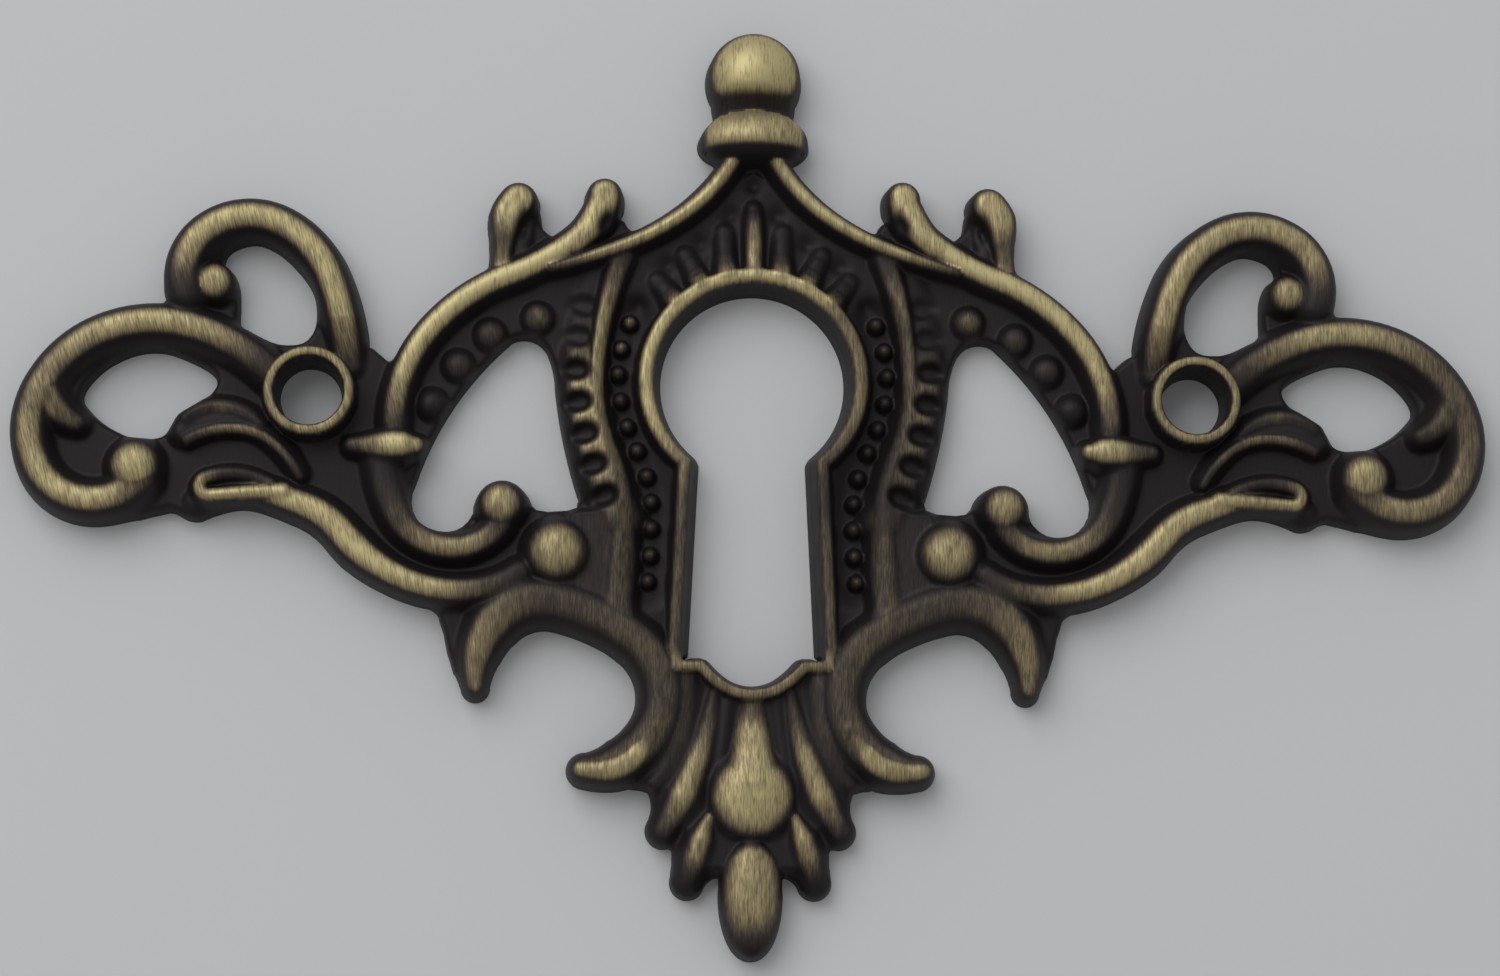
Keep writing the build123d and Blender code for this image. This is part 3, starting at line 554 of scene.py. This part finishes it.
# A triangle across the outline is cut where the distance inside, straight along each edge, comes to nought.
out_count = (side[cut] < 0).sum(1)
one_out = led_by(cut[(out_count == 1) & (side[cut] > 0).all(1, where=side[cut] >= 0)], -1)
touching = led_by(cut[(out_count == 1) & (side[cut] == 0).any(1)], 0)
two_out = led_by(cut[out_count == 2], 1)
crossings = np.concatenate([one_out[:, [0, 1]], one_out[:, [0, 2]], two_out[:, [0, 1]], two_out[:, [0, 2]],
                            touching[:, [1, 2]]])
crossings.sort(axis=1)
pairs, which = np.unique(crossings, axis=0, return_inverse=True)
which = which.ravel() + len(spots)
share = (deep[pairs[:, 0]] / (deep[pairs[:, 0]] - deep[pairs[:, 1]]))[:, None]
spots = np.concatenate([spots, spots[pairs[:, 0]] * (1 - share) + spots[pairs[:, 1]] * share])
n1, n2 = len(one_out), len(two_out)
one_near, one_far, two_near, two_far, side_cut = np.split(which, [n1, 2 * n1, 2 * n1 + n2, 2 * n1 + 2 * n2])
keep_first = (side[touching[:, 1]] > 0)[:, None]
touched = np.where(keep_first, np.stack([touching[:, 0], touching[:, 1], side_cut], 1),
                   np.stack([touching[:, 0], side_cut, touching[:, 2]], 1))
top_faces = np.concatenate([
    whole,
    np.stack([one_near, one_out[:, 1], one_out[:, 2]], 1), np.stack([one_near, one_out[:, 2], one_far], 1),
    np.stack([two_out[:, 0], two_near, two_far], 1), touched])
used, top_faces = np.unique(top_faces, return_inverse=True)
top_faces = top_faces.reshape(-1, 3)
spots = spots[used]
top_z = sampled(whole_relief, spots)

# Walls: every edge with a face on one side only is carried down to the back in rows, and outwards by the lean
# as far as there is room before the next wall.
edges = np.concatenate([top_faces[:, [0, 1]], top_faces[:, [1, 2]], top_faces[:, [2, 0]]])
ordered = np.sort(edges, axis=1)
_, edge_number, face_count = np.unique(ordered, axis=0, return_inverse=True, return_counts=True)
rim_edges = edges[face_count[edge_number.ravel()] == 1]
rim = np.unique(rim_edges)
away = -np.stack([sampled(slope_x, spots[rim]), sampled(slope_y, spots[rim])], 1)
away /= np.maximum(np.hypot(*away.T), TINY)[:, None]
spread = sampled(flare, spots[rim])[:, None]
room = -sampled(whole_inside, spots[rim] + away * spread)[:, None] / spread
spread = spread * np.clip(room, LEAST_ROOM, 1) ** 2
points = [np.column_stack([spots, top_z])]
number = np.zeros(len(spots), int)
number[rim] = np.arange(len(rim))
i, j = number[rim_edges[:, 0]], number[rim_edges[:, 1]]
wall_faces = []
above = rim
for row in range(1, WALL_ROWS + 1):
    down = row / WALL_ROWS
    points.append(np.column_stack([spots[rim] + away * spread * down, top_z[rim] * (1 - down)]))
    below = len(spots) + (row - 1) * len(rim) + np.arange(len(rim))
    wall_faces += [np.stack([above[j], above[i], below[i]], 1), np.stack([above[j], below[i], below[j]], 1)]
    above = below
points = np.concatenate(points)
faces = np.concatenate([top_faces] + wall_faces)
plate_mesh = bpy.data.meshes.new("escutcheon_casting")
plate_mesh.from_pydata((points * MM).tolist(), [], faces.tolist())
skin = bmesh.new()
skin.from_mesh(plate_mesh)
open_edges = [e for e in skin.edges if e.is_boundary]
bmesh.ops.triangle_fill(skin, use_beauty=True, edges=open_edges, normal=(0, 0, -1))
skin.to_mesh(plate_mesh)
skin.free()
plate_mesh.polygons.foreach_set("use_smooth", np.ones(len(plate_mesh.polygons), bool))
plate = bpy.data.objects.new("escutcheon_casting", plate_mesh)
bpy.context.scene.collection.objects.link(plate)

# The finish: brass plating, blackened all over and then brushed, so only what a soft pad reaches is bright.
# The strokes run along the plate's height and lean on its left. The rubbing grows a little duller towards the
# right, more so at the right end, and is duller in a band at the right of the keyhole.
STROKE_LEAN, LEAN_START, LEAN_RUN = 0.22, 10, 10
RIGHT_DULL, END_DULL, BAND_DULL = 0.07, 0.25, 0.38
FINE_SHARE, BROAD_SHARE, MARK_SHIFT, MARK_FLOOR = 0.75, 0.35, -0.55, 0.15
DARKEST_WEAR, BRIGHTEST_WEAR = 0.1, 0.95
SCRATCH_STRENGTH, SCRATCH_DEPTH = 0.35, 0.00003
BRASS_METALLIC = 0.75
TONES = ((0.0, (0.009, 0.007, 0.0078, 1)), (0.25, (0.034, 0.027, 0.021, 1)), (0.5, (0.12, 0.093, 0.055, 1)),
         (0.75, (0.26, 0.213, 0.112, 1)), (1.0, (0.42, 0.357, 0.18, 1)))
rub_all = both_sides(rubbed) * (1 - RIGHT_DULL * eased(x, 5, 30) - END_DULL * eased(x, 30, 36))
by_keyhole = eased(x, 2, 4) * (1 - eased(x, 9, 10.5)) * eased(y, -8, -5) * (1 - eased(y, 4, 6))
rub_all *= 1 - BAND_DULL * by_keyhole
where = np.zeros(len(plate_mesh.vertices) * 3)
plate_mesh.vertices.foreach_get("co", where)
where = where.reshape(-1, 3) / MM
on_top = np.arange(len(where)) < len(spots)
rub_values = np.where(on_top, sampled(rub_all, where), 0)
plate_mesh.attributes.new("rubbed", "FLOAT", "POINT").data.foreach_set("value", rub_values.astype(np.float32))
lean = STROKE_LEAN * np.clip((-where[:, 0] - LEAN_START) / LEAN_RUN, 0, 1)
stroke = where[:, 0] + lean * where[:, 1]
plate_mesh.attributes.new("stroke", "FLOAT", "POINT").data.foreach_set("value", stroke.astype(np.float32))


def node(tree, kind, **settings):
    """A new shader node in a tree, with its settings."""
    made = tree.nodes.new(kind)
    for name, value in settings.items():
        setattr(made, name, value)
    return made


def feed(target, socket, value):
    """Links an output into one of a node's inputs, or writes a plain value there."""
    if isinstance(value, bpy.types.NodeSocket):
        target.id_data.links.new(value, target.inputs[socket])
    else:
        target.inputs[socket].default_value = value


def worked_out(tree, operation, *terms):
    """One step of arithmetic on values."""
    made = node(tree, "ShaderNodeMath", operation=operation)
    for socket, term in enumerate(terms):
        feed(made, socket, term)
    return made.outputs[0]


def mapped(tree, value, low, high, to_low=0.0, to_high=1.0):
    """A value's share of the way from low to high, carried to another range and held within it."""
    made = node(tree, "ShaderNodeMapRange")
    for socket, term in (("Value", value), ("From Min", low), ("From Max", high), ("To Min", to_low),
                         ("To Max", to_high)):
        feed(made, socket, term)
    return made.outputs[0]


def toned(tree, share, tones):
    """A colour read at a share from a row of colours, each given with its place."""
    made = node(tree, "ShaderNodeValToRGB")
    feed(made, 0, share)
    ramp = made.color_ramp.elements
    ramp[0].position, ramp[0].color = tones[0]
    ramp[1].position, ramp[1].color = tones[-1]
    for place, colour in tones[1:-1]:
        ramp.new(place).color = colour
    return made.outputs["Color"]


finish = bpy.data.materials.new("relieved_antique_brass")
finish.use_nodes = True
patina = finish.node_tree
metal = patina.nodes["Principled BSDF"]
place_parts = node(patina, "ShaderNodeSeparateXYZ")
feed(place_parts, 0, node(patina, "ShaderNodeTexCoord").outputs["Object"])
stroke_value = node(patina, "ShaderNodeAttribute", attribute_name="stroke").outputs["Fac"]
rub_value = node(patina, "ShaderNodeAttribute", attribute_name="rubbed").outputs["Fac"]


def brush_marks(across, down):
    """Noise drawn out along the brush stroke: so many marks to the millimetre across it and down it."""
    vector = node(patina, "ShaderNodeCombineXYZ")
    feed(vector, 0, worked_out(patina, "MULTIPLY", stroke_value, across))
    feed(vector, 1, worked_out(patina, "MULTIPLY", place_parts.outputs["Y"], down / MM))
    noise = node(patina, "ShaderNodeTexNoise", noise_dimensions="2D")
    for socket, value in (("Vector", vector.outputs[0]), ("Scale", 1.0), ("Detail", 2.0), ("Roughness", 0.6)):
        feed(noise, socket, value)
    return noise.outputs["Fac"]


fine_marks, broad_marks = brush_marks(12.0, 1.3), brush_marks(2.0, 0.7)
broad_part = worked_out(patina, "MULTIPLY_ADD", broad_marks, BROAD_SHARE, MARK_SHIFT)
marks = worked_out(patina, "MULTIPLY_ADD", fine_marks, FINE_SHARE, broad_part)
worn = worked_out(patina, "MULTIPLY_ADD", marks, worked_out(patina, "ADD", rub_value, MARK_FLOOR), rub_value)
bright = mapped(patina, worn, DARKEST_WEAR, BRIGHTEST_WEAR)
scratch = node(patina, "ShaderNodeBump")
feed(scratch, "Strength", SCRATCH_STRENGTH)
feed(scratch, "Distance", SCRATCH_DEPTH)
feed(scratch, "Height", fine_marks)
feed(metal, "Base Color", toned(patina, bright, TONES))
feed(metal, "Metallic", mapped(patina, bright, 0.0, 1.0, 0.0, BRASS_METALLIC))
feed(metal, "Normal", scratch.outputs[0])
feed(metal, "Roughness", 0.51)
feed(metal, "Specular IOR Level", 0.2)
feed(metal, "Specular Tint", (1.0, 0.9, 0.92, 1))
plate_mesh.materials.append(finish)
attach(plate, "root")
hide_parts("escutcheon")

# The floor: a wide, plain, pale and matt surface that the plate lies on, face up and not fixed.
# It keeps the plate's soft shadow.
floor_mesh = bpy.data.meshes.new("floor")
floor_mesh.from_pydata([(-1, -1, 0), (1, -1, 0), (1, 1, 0), (-1, 1, 0)], [], [(0, 1, 2, 3)])
floor = bpy.data.objects.new("floor", floor_mesh)
bpy.context.scene.collection.objects.link(floor)
pale = bpy.data.materials.new("pale_floor")
pale.use_nodes = True
matt = pale.node_tree.nodes["Principled BSDF"]
feed(matt, "Base Color", (0.49, 0.495, 0.5, 1))
feed(matt, "Roughness", 0.9)
feed(matt, "Specular IOR Level", 0.1)
floor_mesh.materials.append(pale)

# Light: a broad soft lamp beyond the finial, to the left, hung high and turned to the plate.
# Round it is an even room that is dimmer on the near side.
LAMP_PLACE = Vector((-0.22, 0.26, 0.40))
NEAR_SIDE, FAR_SIDE = -0.6, 0.7
ROOM_TONES = ((0.0, (0.42, 0.41, 0.40, 1)), (1.0, (0.80, 0.83, 0.87, 1)))
lamp_data = bpy.data.lights.new("soft_lamp", "AREA")
lamp_data.shape = "RECTANGLE"
lamp_data.size, lamp_data.size_y = 0.5, 0.4
lamp_data.energy = 1.6
lamp = bpy.data.objects.new("soft_lamp", lamp_data)
lamp.matrix_world = Matrix.Translation(LAMP_PLACE) @ LAMP_PLACE.to_track_quat("Z", "Y").to_matrix().to_4x4()
bpy.context.scene.collection.objects.link(lamp)
world = bpy.data.worlds.new("room")
world.use_nodes = True
room_tree = world.node_tree
room_way = node(room_tree, "ShaderNodeSeparateXYZ")
feed(room_way, 0, node(room_tree, "ShaderNodeTexCoord").outputs["Generated"])
toward = mapped(room_tree, room_way.outputs["Y"], NEAR_SIDE, FAR_SIDE)
feed(room_tree.nodes["Background"], "Color", toned(room_tree, toward, ROOM_TONES))
bpy.context.scene.world = world

# The camera: nearly straight down, leaning a little towards the tail and the left, as in the photograph.
# Its place and its right, up and back directions were fitted to points of the plate's outline.
TARGET = np.array([-0.0786, -4.3243, 0.0])
DISTANCE = 220.0
RIGHT = np.array([0.9989942, 0.00344776, 0.04470679])
UP = np.array([-0.0103891, 0.98770589, 0.15597799])
BACK = np.array([-0.04361939, -0.15628557, 0.98674828])
SENSOR_WIDTH, FOCAL_PIXELS, PICTURE_WIDTH = 36.0, 4305.4, 1500
camera_data = bpy.data.cameras.new("camera")
camera_data.sensor_width = SENSOR_WIDTH
camera_data.lens = SENSOR_WIDTH * FOCAL_PIXELS / PICTURE_WIDTH
camera_data.clip_start = 0.01
camera = bpy.data.objects.new("camera", camera_data)
camera_place = (TARGET + DISTANCE * BACK) * MM
camera.matrix_world = Matrix([[RIGHT[k], UP[k], BACK[k], camera_place[k]] for k in range(3)] + [[0, 0, 0, 1]])
bpy.context.scene.collection.objects.link(camera)
bpy.context.scene.camera = camera
bpy.context.scene.view_settings.view_transform = "Standard"
